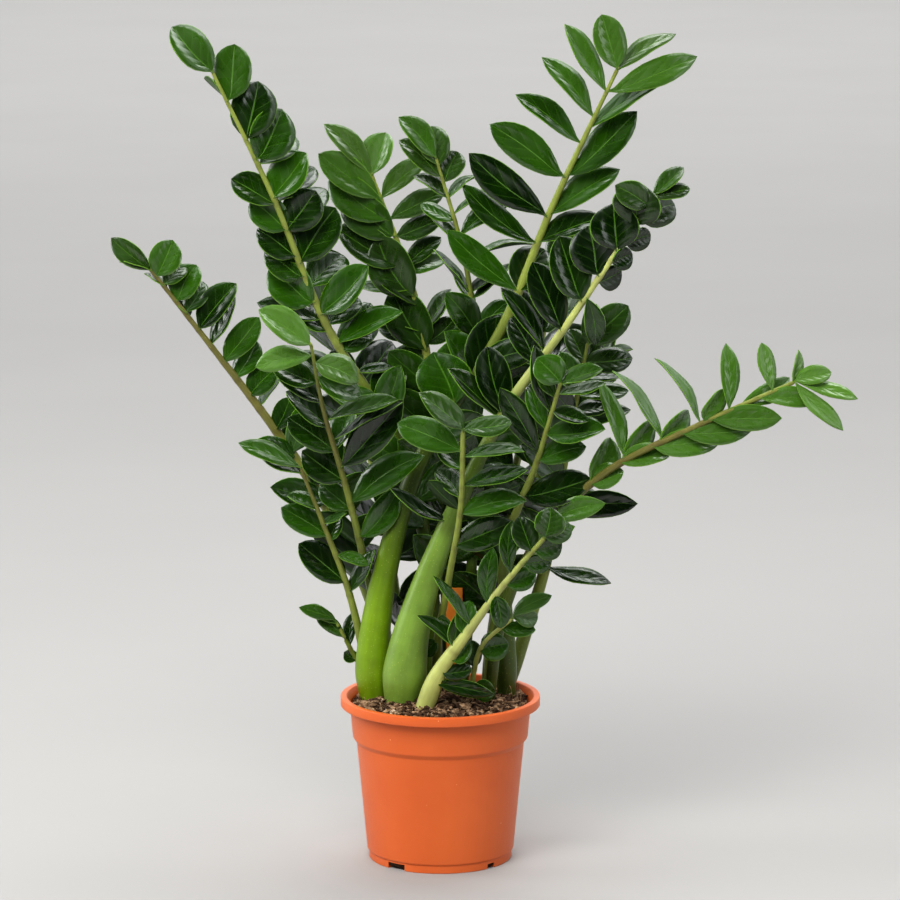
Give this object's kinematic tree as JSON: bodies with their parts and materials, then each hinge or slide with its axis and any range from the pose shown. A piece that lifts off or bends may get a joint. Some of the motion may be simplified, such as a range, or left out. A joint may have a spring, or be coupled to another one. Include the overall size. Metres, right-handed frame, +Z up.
{
  "type": "potted zz plant",
  "caption": "ZZ plant in a round plastic nursery pot, with swollen stems and rows of glossy leaflets.",
  "frame": {"origin": "middle of the pot's underside, on the ground", "axes": "+Z up, +X to the right and +Y to the back when seen from the front"},
  "size_m": [0.6257, 0.3202, 0.7178],
  "materials": {
    "pot_plastic": "satin",
    "label_plastic": "satin",
    "peat": "matte",
    "leaf": "gloss"
  },
  "bodies": {
    "root": {"pot": "pot_plastic", "soil": "peat", "plant_label": "label_plastic", "frond_right_tall": "leaf", "frond_right_arching": "leaf", "frond_right_inner": "leaf", "frond_right_behind": "leaf", "frond_right_level": "leaf", "frond_front_low": "leaf", "frond_front_upright": "leaf", "frond_left_front": "leaf", "frond_left_tall": "leaf", "frond_far_left": "leaf", "frond_middle_back": "leaf", "frond_middle_tall": "leaf", "frond_left_low": "leaf", "shoot_left": "leaf", "shoot_front": "leaf", "frond_back_left": "leaf", "frond_back_right": "leaf", "frond_back_side": "leaf"}
  },
  "joints": []
}
